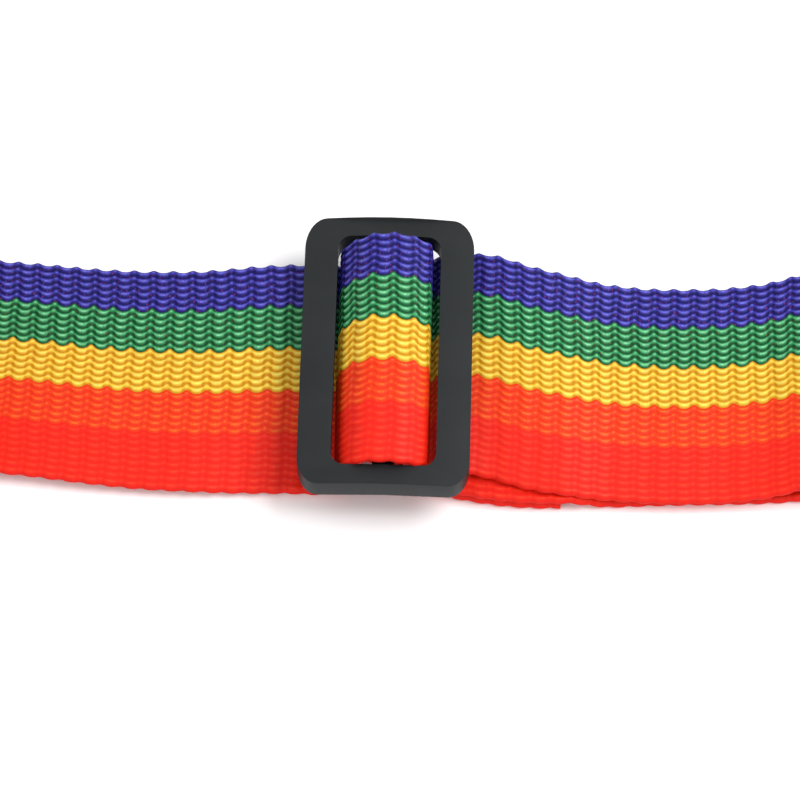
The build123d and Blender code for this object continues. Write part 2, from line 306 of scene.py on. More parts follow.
def socket_route():
    """From the cut end, round the socket half's bar, along the surface and up the roll's left side."""
    top = SOCKET_BAR.z + TURN + TURN_PLAY
    bottom = SOCKET_BAR.z - TURN - TURN_PLAY
    x = SOCKET_BAR.x
    up = ROLL.x - FOOT_ARM_RADIUS
    corners = [
        (x + 15.0, ON_SURFACE, 12),
        (x + 6.0, bottom, 8),
        (x - TURN, bottom, TURN),
        (x - TURN, top, TURN),
        (x + 7.0, top, 8),
        (x + 24.0, ON_TAIL, 12),
        (x + SEWN_END + 2.0, ON_TAIL, 8),
        (x + SEWN_END + 9.0, ON_SURFACE, 8),
        (up, ON_SURFACE, 9),
    ]
    return eased_route((x + SEWN_END, ON_SURFACE), corners, (up, ROLL.z), 2.0)


def slider_route():
    """From under the roll, through the slider, round the plug half's bar and back round the centre bar."""
    x = SLIDER_X
    top = PLUG_BAR.z + TURN + TURN_PLAY
    bottom = PLUG_BAR.z - TURN - TURN_PLAY
    turn_end = round(PLUG_BAR.x - x, 3) + TURN
    from_slider = [
        (-106.0, ON_SURFACE, 60),
        (-86.0, 2.9, 60),
        (-52.0, 3.2, 90),
        (-26.0, 4.3, 90),
        (-5.6, 4.6, 1.6),  # under the centre bar's left, then up, over and down
        (-9.7, 10.0, 3.0),
        (-7.6, 14.6, 5.0),
        (-3.6, 17.9, 6.0),
        (4.4, 17.9, 6.0),
        (7.9, 14.8, 3.4),
        (8.3, 7.0, 2.0),
        (26.0, 6.95, 30),
        (36.0, 6.2, 24),
        (45.0, 3.9, 16),
        (53.0, 3.2, 20),
        (69.0, 3.2, 30),
        (78.0, 4.2, 20),
        (93.0, top, 8),
        (turn_end, top, TURN),
        (turn_end, bottom, TURN),
        (93.0, bottom, 12),
        (82.0, ON_SURFACE, 16),
        (SEWN_END + 9.0, ON_SURFACE, 8),
        (SEWN_END + 2.0, ON_TAIL, 8),
        (9.0, ON_TAIL + 0.05, 3.2),
        (5.4, 6.4, 5),  # the sewn end's own loop round the bar
        (2.5, 14.67, 2.4),
        (-4.5, 14.67, 2.7),
        (-4.5, 9.13, 2.7),
        (1.0, 9.13, 1.2),
        (2.6, 6.0, 2.0),
        (7.0, ON_SURFACE, 3.0),
    ]
    corners = [(x + u, z, bend) for u, z, bend in from_slider]
    return eased_route((x + (ROLL.x - x), ON_SURFACE), corners, (x + SEWN_END, ON_SURFACE), 1.6)


class Webbing:
    """The whole strap's middle line, from the cut end at the socket half to the cut end at the slider."""

    def __init__(self):
        socket, roll, slider = socket_route(), roll_route(), slider_route()
        line = np.concatenate([socket, roll[1:], slider[1:]])
        steps = np.linalg.norm(np.diff(line, axis=0), axis=1)
        keep = np.concatenate([[True], steps > 1e-4])
        line = line[keep]
        self.along = np.concatenate([[0.0], np.cumsum(np.linalg.norm(np.diff(line, axis=0), axis=1))])
        self.line = line
        way = np.gradient(line, self.along, axis=0)
        self.heading = np.unwrap(np.arctan2(way[:, 1], way[:, 0]))
        self.length = self.along[-1]
        self.roll_in = self.at_index(len(socket) - 1)
        self.roll_out = self.at_index(len(socket) + len(roll) - 3)
        u = line[:, 0] - SLIDER_X
        laid = self.along >= self.roll_out
        before_turn = np.arange(len(line)) <= int(np.argmax(line[:, 0]))
        upper, lower = laid & before_turn, laid & ~before_turn
        self.sway = upper * keyed(UPPER_SWAY, u) + lower * keyed(LOWER_SWAY, u)
        self.tilt = upper * keyed(UPPER_TILT, u)
        self.spread = np.where(upper, keyed(UPPER_SPREAD, u), 1.0)
        self.passed = {"upper": (upper, u), "lower": (lower, -u)}

    def at_index(self, index):
        return self.along[min(index, len(self.along) - 1)]

    def where(self, from_slider, leg):
        """How far along the strap a place is, given from the slider's middle on the upper or lower leg."""
        on_leg, ahead = self.passed[leg]
        place = from_slider if leg == "upper" else -from_slider
        return self.along[np.nonzero(on_leg & (ahead >= place))[0][0]]


# Sideways drift, edge-to-edge lift and extra width of the laid strap, from the slider's middle.
UPPER_SWAY = [
    (-112, 0), (-100, 0.3), (-84, 0.6), (-72, -0.2), (-62, -1.25), (-40, -2.4), (-21, -1.8), (-9, -1.5),
    (0, -1.3), (7.4, -1.2), (12, 1.2), (17, 1.3), (22, 0.6), (28, -1.2), (36, -2.5), (48, -3.0),
    (60, -3.1), (76, -2.1), (88, -0.6), (97, 0),
]
UPPER_SPREAD = [(-12, 1.0), (-8, 1.02), (7.4, 1.02), (11, 1.0)]
LOWER_SWAY = [
    (-4, 1.5), (4, 1.3), (12, -1.2), (22, -3.0), (46, -3.0), (54, -2.5), (76, -1.4), (88, -0.5), (97, 0),
]
UPPER_TILT = [
    (-112, 0), (-92, 0), (-84, -0.3), (-62, 0.1), (-46, 1.0), (-40, 1.3), (-27, 2.7), (-19, 3.1),
    (-11, 3.0), (-8.5, 1.6), (0, 1.2), (8.5, 1.2), (16, 1.2), (20, 1.9), (28, 1.9), (36, 1.2),
    (44, 0.4), (52, 0),
]


# ---------------------------------------------------------------- webbing mesh

# Share of the full wave and relief, from the far edge (0) to the near one (1).
WAVE_SHARE = [(0, 0.6), (0.12, 1.0), (0.55, 1.0), (0.75, 0.7), (0.9, 0.42), (1, 0.3)]
RELIEF_SHARE = [(0, 1.0), (0.5, 1.0), (0.62, 0.65), (0.75, 0.35), (1, 0.25)]

# The mesh's columns within a cord, as shares of it, and its steps in a wave.
FINE = {"top": (0.0, 0.13, 0.31, 0.5, 0.69, 0.87), "under": (0.0, 0.5), "wave_steps": 10}
BOTH = {"top": (0.0, 0.14, 0.38, 0.62, 0.86), "wave_steps": 8}
BOTH["under"] = BOTH["top"]
PLAIN = {"top": (0.0, 0.2, 0.5, 0.8), "under": (0.0, 0.5), "wave_steps": 6}
WOUND = {"top": (), "under": (), "wave_steps": 4}
EDGE_STEPS = (0.0, 0.06, 0.16, 0.32, 0.5, 0.75)
EDGE_ROUND = 0.9
MELT = 1.2  # length of a cut end that is sealed by heat
OVERTONE = 0.18  # of a cord's wave, which sharpens its crests
GROOVE_WIDTH = 0.16  # beside the two edge cords, in rows
DIP_PLACE, DIP_SPAN = 0.45, 0.6  # hollow between crests, as cosines of the wave


def across(rows, grain):
    """Row coordinates of the top face, from the far edge to the near one."""
    first = list(EDGE_STEPS)
    last = [rows - place for place in reversed(EDGE_STEPS)]
    if not grain:
        return np.array(first + list(range(2, rows - 1, 4)) + last, float)
    inner = [row + share for row in range(1, rows - 1) for share in grain]
    return np.array(first + inner + [rows - 1.0] + last, float)


def weave(name, web, start, stop, grain, facing=1, cut_start=False, cut_stop=False):
    """One length of the webbing as a closed mesh, with its cords, wave and edges."""
    settings = bpy.context.scene.strap_webbing
    rows = settings.rows
    pitch = WEB_WIDTH / rows
    wave_length = settings.wave_length / MM
    swing = settings.wave_height / MM
    relief = settings.cord_relief / MM

    top, under = across(rows, grain["top"]), across(rows, grain["under"])
    if facing < 0:
        top, under = under, top
    row = np.concatenate([top, under[::-1][1:]])
    side = np.concatenate([np.ones(len(top)), -np.ones(len(under) - 1)])
    side[0] = side[len(top) - 1] = side[-1] = 0.0
    rings = max(int(round((stop - start) / wave_length * grain["wave_steps"])), 2)
    along = np.linspace(start, stop, rings + 1)

    x = np.interp(along, web.along, web.line[:, 0])[:, None]
    z = np.interp(along, web.along, web.line[:, 1])[:, None]
    heading = np.interp(along, web.along, web.heading)[:, None]
    sway = np.interp(along, web.along, web.sway)[:, None]
    tilt = np.interp(along, web.along, web.tilt)[:, None]
    spread = np.interp(along, web.along, web.spread)[:, None]

    s = along[:, None]
    r = row[None, :]
    # The wave wanders a little along the strap and from cord to cord.
    phase = 2 * pi * s / wave_length
    phase = phase + 0.35 * np.sin(s / 23.0 + 0.05 * r) + 0.22 * np.sin(0.8 * r + s / 61.0)
    wave = (np.cos(phase) + OVERTONE * np.cos(2 * phase)) * keyed(WAVE_SHARE, r / rows)
    crest = 0.5 + 0.5 * np.cos(phase)
    cord = np.abs(np.sin(pi * r))
    fill = cord ** (0.55 + 0.6 * crest)
    relief = relief * keyed(RELIEF_SHARE, r / rows)
    near_groove = 0.5 * np.exp(-(((r - (rows - 1)) / GROOVE_WIDTH) ** 2))
    groove = near_groove + 0.25 * np.exp(-(((r - 1) / GROOVE_WIDTH) ** 2))
    uneven = 0.05 * np.sin(1.9 * r + s / 7.3) * np.sin(s / 11.7 + 0.6 * r)
    dip = np.clip(1 - np.abs(np.cos(phase) - DIP_PLACE) / DIP_SPAN, 0, 1)
    low = 1 - fill + 0.25 * crest * cord + 0.25 * dip + groove * (1 - cord) + uneven * cord
    height = HALF_WEB - relief * low
    y0 = WEB_WIDTH / 2 - pitch * r
    into_edge = np.clip((np.abs(y0) - (WEB_WIDTH / 2 - EDGE_ROUND)) / EDGE_ROUND, 0, 1)
    rounding = np.sqrt(np.clip(1 - into_edge**2, 0, 1))
    thick = height * rounding * side[None, :]
    y = (y0 + swing * wave) * spread + sway
    lift = tilt * y0 / (WEB_WIDTH / 2)
    place = np.stack(
        [x - np.sin(heading) * thick + 0 * r, y + 0 * s, z + np.cos(heading) * thick + lift], axis=-1
    )
    melted = np.zeros_like(phase)
    if cut_start:
        melted += np.clip(1 - (s - start) / MELT, 0, 1) + 0 * r
    if cut_stop:
        melted += np.clip(1 - (stop - s) / MELT, 0, 1) + 0 * r
    values = {"row": r + 0 * s, "along": s + 0 * r, "phase": phase, "melted": melted}
    return tube(name, place * MM, values)


def tube(name, place, values):
    """A grid of points, rings by round, wrapped into a closed tube with flat ends."""
    rings, round_ = place.shape[:2]
    bm = bmesh.new()
    bmesh.ops.create_grid(bm, x_segments=round_ - 1, y_segments=rings - 1, size=1.0)
    mesh = bpy.data.meshes.new(name)
    bm.to_mesh(mesh)
    bm.free()
    flat = np.empty(len(mesh.vertices) * 3, np.float32)
    mesh.vertices.foreach_get("co", flat)
    flat = flat.reshape(-1, 3)
    i = np.rint((flat[:, 1] + 1) / 2 * (rings - 1)).astype(int)
    j = np.rint((flat[:, 0] + 1) / 2 * (round_ - 1)).astype(int)
    mesh.vertices.foreach_set("co", place[i, j].astype(np.float32).ravel())
    for key, grid in values.items():
        mesh.attributes.new(key, "FLOAT", "POINT").data.foreach_set("value", grid[i, j].astype(np.float32))
    bm = bmesh.new()
    bm.from_mesh(mesh)
    seam = [v for v in bm.verts if v.is_boundary]
    bmesh.ops.remove_doubles(bm, verts=seam, dist=1e-7)
    rims = [e for e in bm.edges if e.is_boundary]
    for edge in rims:
        edge.smooth = False
    ring = bm.verts.layers.float["along"]
    halfway = float(values["along"].mean())
    for at_start in (True, False):
        rim = [e for e in rims if (e.verts[0][ring] < halfway) == at_start]
        bmesh.ops.triangle_fill(bm, use_beauty=True, use_dissolve=False, edges=rim)
    for face in bm.faces:
        face.smooth = True
    bmesh.ops.recalc_face_normals(bm, faces=bm.faces[:])
    bm.to_mesh(mesh)
    bm.free()
    piece = bpy.data.objects.new(name, mesh)
    bpy.context.scene.collection.objects.link(piece)
    return piece


# ---------------------------------------------------------------- materials

STRIPE_ROWS = (6, 6, 6, 6, 8)
# The five stripes' other colours, from the far edge: painted shade in a groove (also the darker heat-sealed
# ends), painted highlight on a crest, and the weft's own.
GROOVE_SHADE = (dyed(8, 4, 84), dyed(0, 70, 32), dyed(206, 140, 2), dyed(234, 46, 2), dyed(239, 25, 3))
CREST_HIGHLIGHT = (
    dyed(120, 120, 232), dyed(150, 232, 176), dyed(255, 246, 120), dyed(255, 118, 36), dyed(255, 64, 32)
)
WEFT = (dyed(150, 44, 128), dyed(110, 78, 50), dyed(210, 116, 12), dyed(238, 84, 20), dyed(232, 44, 24))
FLOW_SCALE, EROSION_SCALE = 90.0, 2700.0  # of the plastic's noises
PLY_SCALE = 900.0


class Graph:
    """A new material's node tree, with short ways to add what its shader needs."""

    def __init__(self, name):
        self.material = bpy.data.materials.new(name)
        self.material.use_nodes = True
        self.nodes, self.links = self.material.node_tree.nodes, self.material.node_tree.links
        self.shader = self.nodes["Principled BSDF"]

    def feed(self, socket, value):
        """Sets a socket to a number or a colour, or links another node's output to it."""
        if isinstance(value, (int, float)):
            socket.default_value = value
        elif isinstance(value, tuple):
            socket.default_value = (*value, 1.0)
        else:
            self.links.new(value, socket)

    def math(self, operation, *inputs, clamp=False):
        node = self.nodes.new("ShaderNodeMath")
        node.operation = operation
        node.use_clamp = clamp
        for socket, value in zip(node.inputs, inputs):
            self.feed(socket, value)
        return node.outputs[0]

    def attribute(self, name):
        node = self.nodes.new("ShaderNodeAttribute")
        node.attribute_name = name
        return node.outputs["Fac"]

    def object_place(self):
        return self.nodes.new("ShaderNodeTexCoord").outputs["Object"]

    def vector(self, *parts):
        node = self.nodes.new("ShaderNodeCombineXYZ")
        for socket, part in zip(node.inputs, parts):
            self.feed(socket, part)
        return node.outputs[0]

    def mix(self, factor, first, second, blend_type="MIX"):
        node = self.nodes.new("ShaderNodeMix")
        node.data_type = "RGBA"
        node.blend_type = blend_type
        for socket, value in (("Factor", factor), (6, first), (7, second)):
            self.feed(node.inputs[socket], value)
        return node.outputs[2]

    def noise(self, where, scale, detail):
        node = self.nodes.new("ShaderNodeTexNoise")
        node.inputs["Scale"].default_value = scale
        node.inputs["Detail"].default_value = detail
        self.links.new(where, node.inputs["Vector"])
        return node.outputs["Fac"]

    def stripes(self, row, rows, colours):
        """Hard-edged stripes across the rows."""
        ramp = self.nodes.new("ShaderNodeValToRGB")
        ramp.color_ramp.interpolation = "CONSTANT"
        elements = ramp.color_ramp.elements
        while len(elements) < len(colours):
            elements.new(0.5)
        start = 0
        for element, width, colour in zip(elements, STRIPE_ROWS, colours):
            element.position = start / sum(STRIPE_ROWS)
            element.color = (*colour, 1.0)
            start += width
        self.links.new(self.math("DIVIDE", row, float(rows)), ramp.inputs["Fac"])
        return ramp.outputs["Color"]

    def finish(self, colour, roughness, specular, height, strength, depth):
        """Feeds the shader, with a bump `depth` millimetres deep, and returns the material."""
        self.links.new(colour, self.shader.inputs["Base Color"])
        self.feed(self.shader.inputs["Roughness"], roughness)
        if specular is not None:
            self.shader.inputs["Specular IOR Level"].default_value = specular
        bump = self.nodes.new("ShaderNodeBump")
        bump.inputs["Strength"].default_value = strength
        bump.inputs["Distance"].default_value = depth * MM
        self.links.new(height, bump.inputs["Height"])
        self.links.new(bump.outputs["Normal"], self.shader.inputs["Normal"])
        return self.material


def webbing_material():
    """Dyed cords with painted shade in their grooves, painted highlights of broken strands on their tops,
    and specks of weft between them.
    """
    settings = bpy.context.scene.strap_webbing
    graph = Graph("striped_webbing")
    math, mix = graph.math, graph.mix
    row, along, melted = (graph.attribute(name) for name in ("row", "along", "melted"))

    def cloth_noise(along_scale, row_scale, seed, detail):
        where = math("MULTIPLY", along, along_scale), math("MULTIPLY", row, row_scale), seed
        return graph.noise(graph.vector(*where), 1.0, detail)

    # How deep a place is between cords, for the painted shade in the grooves, and how far up on a crest.
    swing = math("COSINE", graph.attribute("phase"))
    cord = math("ABSOLUTE", math("SINE", math("MULTIPLY", row, pi)))
    valley = math("SUBTRACT", 1.0, cord)
    off_dip = math("ABSOLUTE", math("SUBTRACT", swing, 0.42))
    dip = math("MULTIPLY_ADD", off_dip, -1.8, 1.0, clamp=True)
    thin = math("MULTIPLY", math("POWER", valley, 0.85), 1.05)
    wide = math("MULTIPLY", math("POWER", valley, 0.5), dip)
    gap = math("MULTIPLY_ADD", wide, 1.45, thin, clamp=True)
    # Painted highlights along the cords' tops: a larger one at each trough of the wave and a smaller one at
    # each crest.
    trough = math("MULTIPLY_ADD", swing, -0.5, 0.5)
    low = math("MULTIPLY", math("POWER", trough, 1.6), 0.95)
    top = math("MULTIPLY_ADD", swing, 5.0, -4.1, clamp=True)
    lens = math("MULTIPLY", math("POWER", cord, 6.0), math("MULTIPLY_ADD", top, 0.7, low))

    # Uneven tone: streaks along the fibres, a tone for each half wave of a cord, and a slow drift.
    fibres = cloth_noise(0.9, 7.0, 0.0, 3.0)
    streak = math("MULTIPLY_ADD", fibres, 0.5, 0.75)
    bundle = graph.nodes.new("ShaderNodeTexWhiteNoise")
    bundle.noise_dimensions = "2D"
    half_wave = math("DIVIDE", along, settings.wave_length / MM / 2)
    cell = graph.vector(math("FLOOR", half_wave), math("FLOOR", row), 0.0)
    graph.links.new(cell, bundle.inputs["Vector"])
    spread = math("MULTIPLY_ADD", bundle.outputs["Value"], 0.16, 0.92)
    drift = math("MULTIPLY_ADD", cloth_noise(0.03, 0.12, 4.0, 2.0), 0.14, 0.93)
    tone = math("MULTIPLY", math("MULTIPLY", streak, spread), drift)

    dyes = (settings.indigo, settings.green, settings.yellow, settings.orange, settings.red)
    lit = [tuple(dye) for dye in dyes]
    base, dark, light, weft = (
        graph.stripes(row, settings.rows, colours) for colours in (lit, GROOVE_SHADE, CREST_HIGHLIGHT, WEFT)
    )
    # The painted highlights broken into specks of strands.
    broken = math("MULTIPLY_ADD", cloth_noise(2.6, 3.1, 2.0, 1.0), 2.6, -0.45, clamp=True)
    bright = mix(math("MULTIPLY", lens, broken, clamp=True), base, light)
    toned = mix(1.0, bright, graph.vector(tone, tone, tone), "MULTIPLY")
    # Painted shade in the grooves between cords, with specks of weft showing through it.
    specks = math("MULTIPLY_ADD", cloth_noise(2.3, 2.1, 9.0, 1.0), 9.0, -5.5, clamp=True)
    deep = mix(math("MULTIPLY", specks, 0.75), dark, weft)
    colour = mix(gap, toned, deep)
    colour = mix(math("MULTIPLY", melted, 0.75, clamp=True), colour, dark)

    rough = math("MULTIPLY_ADD", fibres, 0.2, 0.3)
    rough = math("MULTIPLY_ADD", gap, 0.3, rough, clamp=True)
    slant = math("MULTIPLY_ADD", row, 9.0, math("MULTIPLY", along, 1.5))
    twist = graph.noise(graph.vector(math("MULTIPLY", along, 1.2), slant, 0.0), 1.0, 2.0)
    return graph.finish(colour, rough, specular=0.22, height=twist, strength=0.6, depth=0.08)


def plastic_material(name, colour):
    """Moulded plastic: fine spark-eroded grain, soft gloss, faint flow marks."""
    graph = Graph(name)
    flow = graph.noise(graph.object_place(), FLOW_SCALE, 4.0)
    grain = graph.noise(graph.object_place(), EROSION_SCALE, 2.0)
    pale = tuple(min(c * 1.5 + 0.004, 1.0) for c in colour)
    mottled = graph.math("MULTIPLY_ADD", flow, 0.9, -0.15, clamp=True)
    rough = graph.math("MULTIPLY_ADD", flow, 0.18, 0.38)
    shade = graph.mix(mottled, colour, pale)
    return graph.finish(shade, rough, specular=0.2, height=grain, strength=0.35, depth=0.03)


def thread_material(name, colour):
    """Twisted thread, with painted shade between its plies."""
    graph = Graph(name)
    ply = graph.nodes.new("ShaderNodeTexWave")
    ply.wave_type = "BANDS"
    ply.bands_direction = "DIAGONAL"
    ply.inputs["Scale"].default_value = PLY_SCALE
    ply.inputs["Distortion"].default_value = 1.5
    graph.links.new(graph.object_place(), ply.inputs["Vector"])
    plies = ply.outputs["Fac"]
    # Painted shade between the plies.
    shade = graph.mix(plies, tuple(c * 0.45 for c in colour), colour)
    return graph.finish(shade, 0.45, specular=None, height=plies, strength=0.7, depth=0.1)


def material_once(name, make, *args):
    """The material of this name if a piece has made it already. Names differ from the frame's own."""
    return bpy.data.materials.get(name) or make(*args)


def hardware_material(name, make, setting):
    """A moulding's or thread's material, in the colour of its setting."""
    colour = tuple(getattr(bpy.context.scene.strap_hardware, setting))
    return material_once(name, make, name, colour)


# ---------------------------------------------------------------- pieces

WEB = {}
BAR_COVER = 13.5  # webbing each side of the slider's middle that keeps its shape
PLUG_TURN = 95.7  # from the slider's middle to the turn round the plug half's bar
# Where each run between two bodies starts and stops giving way, from the slider's middle.
LEFT_GIVE, UPPER_GIVE, LOWER_GIVE = (-90, -18), (18, 94), (37, 94)
ROLL_OUTSIDE, ROLL_LAST = 190.0, 100.0  # lengths at the roll's two ends with a full weave
UNDER_ROLL = 1.0  # from the roll's last point back to the cut between its pieces
LOOP_MOST = 60.0  # along the strap, past the fold of the socket's loop


def web():
    """The strap's middle line, worked out once."""
    if "strap" not in WEB:
        WEB["strap"] = Webbing()
    return WEB["strap"]


def web_piece(name, start, stop, grain, held, nodes=(), body=None, blend=None, **ends):
    """One length of the webbing, riding on a body or bending between two."""
    piece = weave(name, web(), start, stop, grain, **ends)
    piece.data.materials.append(material_once("striped_webbing", webbing_material))
    if nodes:
        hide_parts(*nodes)
    if body:
        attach(piece, body)
    else:
        first, second, (near, far) = blend
        near, far = (((SLIDER_X + place) * MM, 0, 0) for place in (near, far))
        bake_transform(piece, first, second, start=near, end=far)


class STRAP_OT_flat_webbing(bpy.types.Operator):
    """Webbing from the roll through the slider, round the plug half's bar and back to its sewn end"""

    bl_idname = "strap.flat_webbing"
    bl_label = "Laid-out webbing"

    def execute(self, context):
        strap = web()
        under_roll = strap.roll_out - UNDER_ROLL
        bar_left = strap.where(-BAR_COVER, "upper")
        bar_right = strap.where(BAR_COVER, "upper")
        turn_in = strap.where(PLUG_TURN, "upper")
        turn_out = strap.where(PLUG_TURN, "lower")
        loop_foot = strap.where(SEWN_END, "lower")
        web_piece(
            "webbing_left_run", under_roll, bar_left, FINE, "laid", ["web_left_run", "web_left_ramp"],
            blend=("strap", "slider", LEFT_GIVE),
        )
        web_piece("webbing_over_bar", bar_left, bar_right, FINE, "folded", ["web_weave"], "slider")
        web_piece(
            "webbing_upper_run", bar_right, turn_in, FINE, "laid", ["web_upper_run"],
            blend=("slider", "plug_turn", UPPER_GIVE),
        )
        web_piece(
            "webbing_plug_turn", turn_in, turn_out, BOTH, "folded", ["web_plug_turn"], "plug_turn"
        )
        web_piece(
            "webbing_lower_run", turn_out, loop_foot, PLAIN, "laid", ["web_lower_run"],
            blend=("slider", "plug_turn", LOWER_GIVE), facing=-1,
        )
        web_piece(
            "webbing_sewn_end", loop_foot, strap.length, PLAIN, "folded", ["web_sewn_loop"], "slider",
            cut_stop=True,
        )
        return {"FINISHED"}


class STRAP_OT_rolled_webbing(bpy.types.Operator):
    """The spare webbing, wound double into a roll"""

    bl_idname = "strap.rolled_webbing"
    bl_label = "Rolled webbing"

    def execute(self, context):
        strap = web()
        first, outer = strap.roll_in, strap.roll_in + ROLL_OUTSIDE
        last, under_roll = strap.roll_out - ROLL_LAST, strap.roll_out - UNDER_ROLL
        middle_cut = (first + outer) / 2
        web_piece("webbing_roll_outside", first, middle_cut, BOTH, "folded", ["web_roll"], "strap")
        web_piece("webbing_roll_second", middle_cut, outer, BOTH, "folded", (), "strap")
        web_piece("webbing_roll_inside", outer, last, WOUND, "folded", (), "strap")
        web_piece("webbing_roll_last", last, under_roll, BOTH, "folded", (), "strap")
        return {"FINISHED"}


class STRAP_OT_socket_webbing(bpy.types.Operator):
    """Webbing from the roll's foot to the end sewn round the socket half's bar"""

    bl_idname = "strap.socket_webbing"
    bl_label = "Socket-side webbing"

    def execute(self, context):
        strap = web()
        past_end = (strap.line[:, 0] > SOCKET_BAR.x + SEWN_END) & (strap.along > LOOP_MOST)
        foot = strap.along[np.nonzero(past_end)[0][0]]
        web_piece(
            "webbing_socket_end", 0.0, foot, BOTH, "folded", ["web_socket_loop"], "strap", cut_start=True
        )
        web_piece("webbing_foot_run", foot, strap.roll_in, BOTH, "laid", ["web_foot_run"], "strap")
        return {"FINISHED"}


def add_shells(bm, shells):
    """Adds closed shells to a mesh and frees them."""
    for shell in shells:
        part = bpy.data.meshes.new("shell")
        shell.to_mesh(part)
        shell.free()
        bm.from_mesh(part)
        bpy.data.meshes.remove(part)


def hard_piece(name, bm, sharp, material, slot_name, body, nodes):
    """Writes a mesh out as a smooth-shaded piece, with its sharper edges kept crisp."""
    for face in bm.faces:
        face.smooth = True
    for edge in bm.edges:
        if len(edge.link_faces) == 2 and edge.calc_face_angle(0.0) > sharp:
            edge.smooth = False
    mesh = bpy.data.meshes.new(name)
    bm.to_mesh(mesh)
    bm.free()
    piece = bpy.data.objects.new(name, mesh)
    bpy.context.scene.collection.objects.link(piece)
    mesh.materials.append(material)
    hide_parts(*nodes)
    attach(piece, body)


def smooth_copy(node, material, details):
    """A merged, smooth-shaded copy of a buckle's CAD node, with moulded details added to it."""
    source = frame["nodes"][node]
    bm = bmesh.new()
    bm.from_mesh(source.data)
    bmesh.ops.remove_doubles(bm, verts=bm.verts[:], dist=1e-6)
    for detail in details:
        bmesh.ops.scale(detail, vec=(MM, MM, MM), verts=detail.verts[:])
    add_shells(bm, details)
    body = source["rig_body"]
    hard_piece(node + "_moulding", bm, radians(32), material, "buckle_plastic", body, [node])


def moulded(name, shells, centre, sharp, *where):
    """Joins closed shells, in millimetres about a centre, into one smooth-shaded piece."""
    whole = bmesh.new()
    add_shells(whole, shells)
    bmesh.ops.translate(whole, vec=centre, verts=whole.verts[:])
    bmesh.ops.scale(whole, vec=(MM, MM, MM), verts=whole.verts[:])
    bmesh.ops.recalc_face_normals(whole, faces=whole.faces[:])
    hard_piece(name, whole, sharp, *where)


CORNER, SLOT_CORNER = 6.8, 3.0
SIDE_BAR, END_BAR = 6.8, 4.4
END_CROWN = 0.2
SLOT_CROWN = 0.55 * END_CROWN
CAMBER = 1.2
LIP = 0.6  # how far the frame's rim reaches below its flat underside
EDGE_ROUNDING = 1.9
CENTRE_BAR = (4.6, 3.6)
CENTRE_BAR_ROUNDING = 1.4
BAR_ROOT = 1.0  # of the centre bar, inside each end of the frame
SLIDER_SHARE = 0.985  # of the plain frame's length across the strap
SLIDER_DRIFT = -0.3


def rounded_outline(length, width, corner, crown, segments=9):
    """Flat face in the outline of a rounded rectangle whose two ends swell outwards by `crown`."""
    bm = bmesh.new()
    bmesh.ops.create_grid(bm, x_segments=8, y_segments=1, size=0.5)
    bmesh.ops.scale(bm, vec=(length, width, 1.0), verts=bm.verts[:])
    for vert in bm.verts:
        vert.co.y += (1 if vert.co.y > 0 else -1) * crown * (cos(pi * vert.co.x / length) - 1)
    bmesh.ops.dissolve_faces(bm, faces=bm.faces[:])
    corners = [v for v in bm.verts if abs(v.co.x) > length / 2 - 1e-4]
    bmesh.ops.bevel(
        bm, geom=corners, offset=corner, offset_type="OFFSET", affect="VERTICES", segments=segments,
        profile=0.5, material=-1,
    )
    return bm


def outline_points(bm):
    """The corners of a one-face mesh in order round it. Frees the mesh."""
    loop = []
    start = vert = bm.verts[:][0]
    before = None
    while not loop or vert is not start:
        loop.append(vert.co.copy())
        following = [e.other_vert(vert) for e in vert.link_edges if e.other_vert(vert) is not before]
        before, vert = vert, following[0]
    bm.free()
    return loop


def ring_moulding(outer, inner, bottom, top, rounding):
    """A flat frame between two outlines, with every long edge rounded."""
    bm = bmesh.new()
    edges = []
    for loop in [outline_points(outline) for outline in (outer, inner)]:
        verts = [bm.verts.new((co.x, co.y, bottom)) for co in loop]
        edges += [bm.edges.new((a, b)) for a, b in zip(verts, verts[1:] + verts[:1])]
    bmesh.ops.triangle_fill(bm, use_beauty=True, use_dissolve=True, edges=edges)
    raised = bmesh.ops.extrude_face_region(bm, geom=bm.faces[:])["geom"]
    lifted = [part for part in raised if isinstance(part, bmesh.types.BMVert)]
    bmesh.ops.translate(bm, vec=(0, 0, top - bottom), verts=lifted)
    bmesh.ops.recalc_face_normals(bm, faces=bm.faces[:])
    creases = [e for e in bm.edges if len(e.link_faces) == 2 and e.calc_face_angle(0.0) > radians(60)]
    rim_edges = [e for e in creases if abs(e.verts[0].co.z - e.verts[1].co.z) < 1e-5]
    bmesh.ops.bevel(
        bm, geom=rim_edges, offset=rounding, offset_type="OFFSET", affect="EDGES", segments=6,
        profile=0.5, material=-1, clamp_overlap=True,
    )
    return bm


def plain_box(size):
    """A box about the origin."""
    bm = bmesh.new()
    bmesh.ops.create_cube(bm, size=1.0)
    bmesh.ops.scale(bm, vec=size, verts=bm.verts[:])
    return bm


